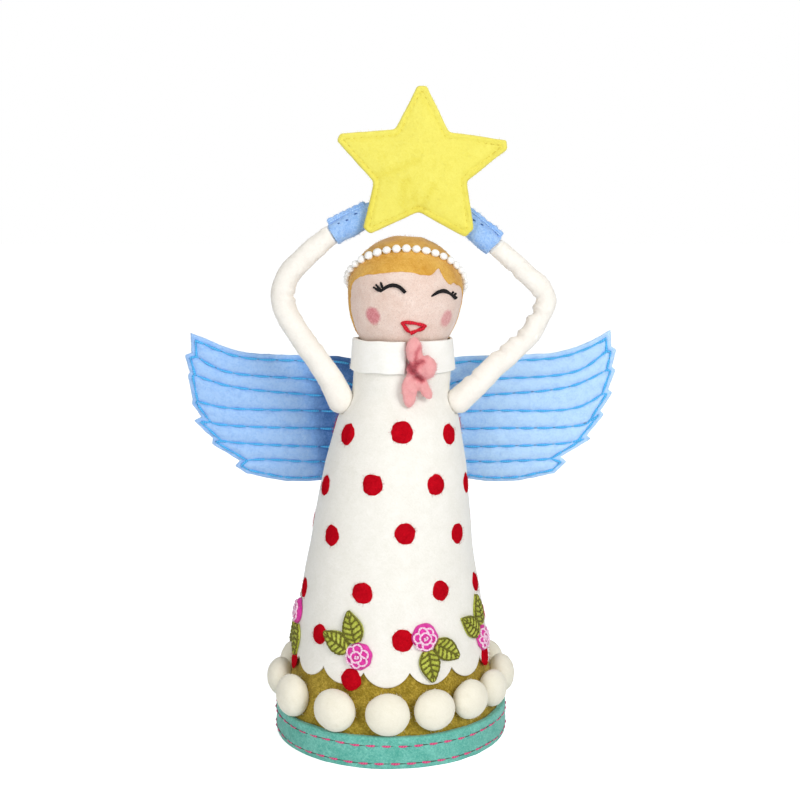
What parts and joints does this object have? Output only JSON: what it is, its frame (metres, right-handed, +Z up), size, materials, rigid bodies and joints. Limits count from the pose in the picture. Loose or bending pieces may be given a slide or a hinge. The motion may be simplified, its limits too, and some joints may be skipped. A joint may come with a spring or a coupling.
{
  "type": "angel tree topper",
  "caption": "Felt angel for a tree's top: hollow cone body, wired arms holding a stuffed star overhead, quilted wings.",
  "frame": {"origin": "middle of the open foot of the cone, on the surface that the foot rests on", "axes": "+Z up along the cone, -Y the way that the angel faces, +X to the viewer's right"},
  "size_m": [0.2108, 0.12, 0.304],
  "materials": {
    "ivory_felt": "matte",
    "card": "matte",
    "wool_filling": "matte",
    "olive_felt": "matte",
    "teal_felt": "matte",
    "ball_wool": "matte",
    "face_felt": "matte",
    "hair_wool": "matte",
    "beads": "gloss",
    "bow_wool": "matte",
    "leaf_felt": "matte",
    "rose_felt": "matte",
    "blue_felt": "matte",
    "yellow_felt": "matte",
    "wire": "satin"
  },
  "bodies": {
    "angel": {"felt_body": "ivory_felt", "collar": "ivory_felt", "card_lining": "card", "neck_wad": "wool_filling", "olive_band": "olive_felt", "foot_band": "teal_felt", "head": "face_felt", "hair": "hair_wool", "bead_string": "beads", "bow": "bow_wool", "felt_ball_01": "ball_wool", "felt_ball_02": "ball_wool", "felt_ball_03": "ball_wool", "felt_ball_04": "ball_wool", "felt_ball_05": "ball_wool", "felt_ball_06": "ball_wool", "felt_ball_07": "ball_wool", "felt_ball_08": "ball_wool", "felt_ball_09": "ball_wool", "felt_ball_10": "ball_wool", "felt_ball_11": "ball_wool", "felt_ball_12": "ball_wool", "felt_ball_13": "ball_wool", "felt_ball_14": "ball_wool", "rosebud_1": "rose_felt", "rosebud_2": "rose_felt", "rosebud_3": "rose_felt", "rosebud_4": "rose_felt", "rosebud_5": "rose_felt", "rosebud_6": "rose_felt", "rosebud_7": "rose_felt", "leaf_1a": "leaf_felt", "leaf_1b": "leaf_felt", "leaf_2a": "leaf_felt", "leaf_2b": "leaf_felt", "leaf_3a": "leaf_felt", "leaf_3b": "leaf_felt", "leaf_4a": "leaf_felt", "leaf_4b": "leaf_felt", "leaf_5a": "leaf_felt", "leaf_5b": "leaf_felt", "leaf_6a": "leaf_felt", "leaf_6b": "leaf_felt", "leaf_7a": "leaf_felt", "leaf_7b": "leaf_felt"},
    "arms": {"arm_left": "ivory_felt", "arm_right": "ivory_felt", "arm_wire": "wire", "mitten_left": "blue_felt", "mitten_right": "blue_felt"},
    "star": {"star_front": "yellow_felt", "star_back": "yellow_felt", "star_filling": "wool_filling"},
    "wing_left": {"wing_left": "blue_felt"},
    "wing_right": {"wing_right": "blue_felt"}
  },
  "joints": [
    {"name": "arms_lean", "type": "hinge", "parent": "angel", "child": "arms", "pos_m": [0.0047, -0.005, 0.16], "axis": [1, 0, 0], "range_deg": [-20, 30]},
    {"name": "star_nod", "type": "hinge", "parent": "arms", "child": "star", "pos_m": [0.014, -0.0121, 0.2365], "axis": [1, 0, 0], "range_deg": [0, 20]},
    {"name": "wing_left_fold", "type": "hinge", "parent": "angel", "child": "wing_left", "pos_m": [-0.0006, 0.03732, 0.11248], "axis": [0, 0.2186, -0.9758], "range_deg": [0, 65], "stiffness_Nm_per_rad": 0.002},
    {"name": "wing_right_fold", "type": "hinge", "parent": "angel", "child": "wing_right", "pos_m": [0.0098, 0.03732, 0.11248], "axis": [0, -0.2186, 0.9758], "range_deg": [0, 65], "stiffness_Nm_per_rad": 0.002}
  ]
}
